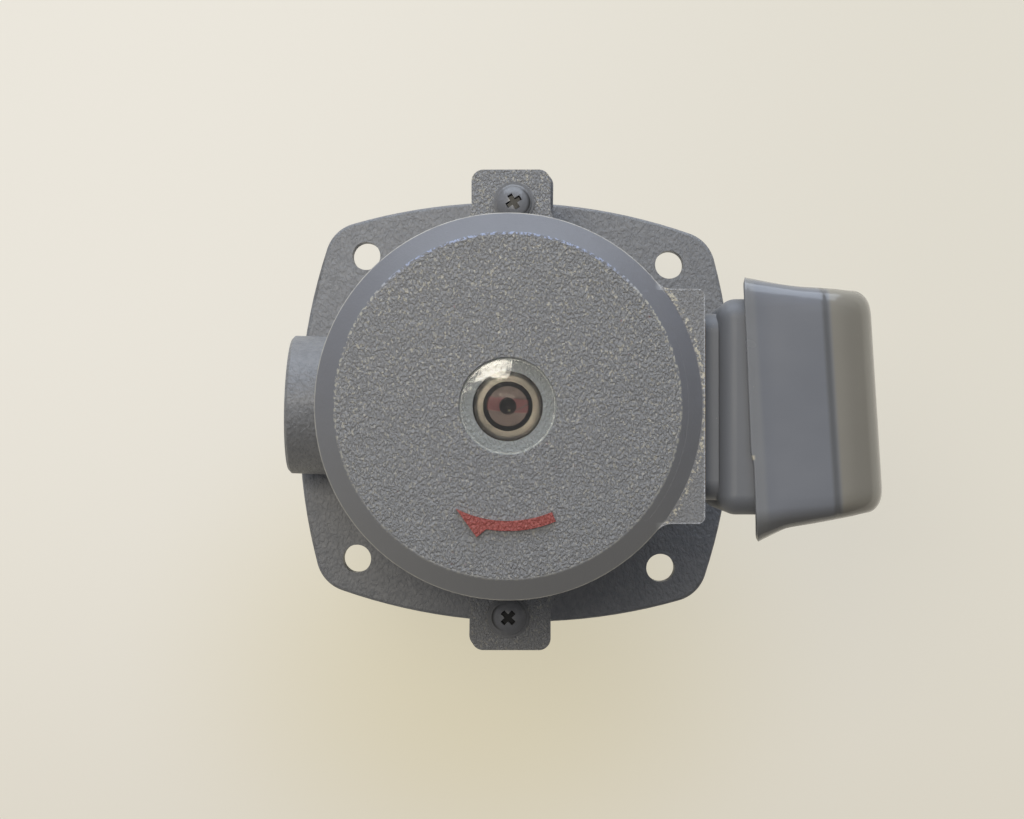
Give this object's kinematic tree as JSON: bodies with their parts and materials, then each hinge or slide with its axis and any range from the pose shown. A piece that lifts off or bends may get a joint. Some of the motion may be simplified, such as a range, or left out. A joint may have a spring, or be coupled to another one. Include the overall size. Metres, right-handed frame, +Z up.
{
  "type": "immersion coolant pump",
  "caption": "Vertical immersion coolant pump: enclosed motor with conduit box over a square mounting flange, side discharge port, column with volute and impeller below",
  "frame": {"origin": "the shaft's axis where it crosses the underside of the mounting flange", "axes": "+Z up along the shaft, +X towards the conduit box, -X out of the discharge port"},
  "size_m": [0.1952, 0.1626, 0.299],
  "materials": {
    "cast_paint": "grey enamel over a cast surface, orange peel",
    "box_paint": "smooth glossy grey enamel on drawn sheet",
    "cast_iron": "cast iron, dipped in dark grey primer",
    "gasket_fibre": "compressed fibre sheet",
    "screw_steel": "zinc plated steel",
    "painted_screw": "steel painted over with the housing",
    "green_screw": "green dyed steel",
    "bronze": "machined bronze",
    "shaft_steel": "ground steel",
    "bearing_steel": "ground and polished bearing steel",
    "cage_steel": "pressed steel sheet",
    "spring_steel": "blackened spring steel",
    "lamination_steel": "stacked lamination edges",
    "cast_aluminium": "die cast",
    "enamelled_copper": "enamelled wire, varnished",
    "clear_window": "clear glossy plastic",
    "rubber": "moulded black rubber",
    "lead_insulation": "extruded insulation",
    "tinned_brass": "tinned"
  },
  "bodies": {
    "housing": {"base_screws": "screw_steel", "bearing_snap_ring": "spring_steel", "column_gasket": "gasket_fibre", "column_screws": "screw_steel", "conduit_box_base": "box_paint", "conduit_box_cover": "box_paint", "conduit_box_gasket": "gasket_fibre", "cover_post": "screw_steel", "cover_screw": "screw_steel", "ground_screw": "green_screw", "housing_screw_washers": "painted_screw", "housing_screws": "painted_screw", "lead_grommet": "rubber", "lead_terminals": "tinned_brass", "lead_wires": "lead_insulation", "lower_bearing_outer_ring": "bearing_steel", "lower_bearing_shields": "cage_steel", "motor_housing": "cast_paint", "pump_bracket": "cast_paint", "pump_column": "cast_iron", "sight_window": "clear_window", "stator_core": "lamination_steel", "stator_windings": "enamelled_copper", "suction_cover": "cast_iron", "suction_cover_gasket": "gasket_fibre", "suction_cover_screws": "screw_steel", "throat_bushing": "bronze", "upper_bearing_outer_ring": "bearing_steel", "upper_bearing_shields": "cage_steel", "wave_spring": "spring_steel"},
    "rotor": {"shaft": "shaft_steel", "rotor_core": "lamination_steel", "rotor_cage": "cast_aluminium", "upper_bearing_inner_ring": "bearing_steel", "lower_bearing_inner_ring": "bearing_steel", "shaft_snap_ring": "spring_steel", "slinger": "rubber", "impeller": "bronze", "impeller_key": "shaft_steel", "impeller_washer": "screw_steel", "impeller_nut": "screw_steel"},
    "upper_cage": {"upper_bearing_balls": "bearing_steel", "upper_bearing_cage": "cage_steel"},
    "lower_cage": {"lower_bearing_balls": "bearing_steel", "lower_bearing_cage": "cage_steel"}
  },
  "joints": [
    {"name": "shaft_spin", "type": "hinge", "parent": "housing", "child": "rotor", "pos_m": [0, 0, 0], "axis": [0, 0, -1], "continuous": true},
    {"name": "upper_cage_orbit", "type": "hinge", "parent": "housing", "child": "upper_cage", "pos_m": [0, 0, 0.1458], "axis": [0, 0, -1], "continuous": true},
    {"name": "lower_cage_orbit", "type": "hinge", "parent": "housing", "child": "lower_cage", "pos_m": [0, 0, 0.051], "axis": [0, 0, -1], "continuous": true}
  ],
  "couplings": [
    {"joint": "upper_cage_orbit", "follows": "shaft_spin", "ratio": 0.381},
    {"joint": "lower_cage_orbit", "follows": "shaft_spin", "ratio": 0.3816}
  ]
}
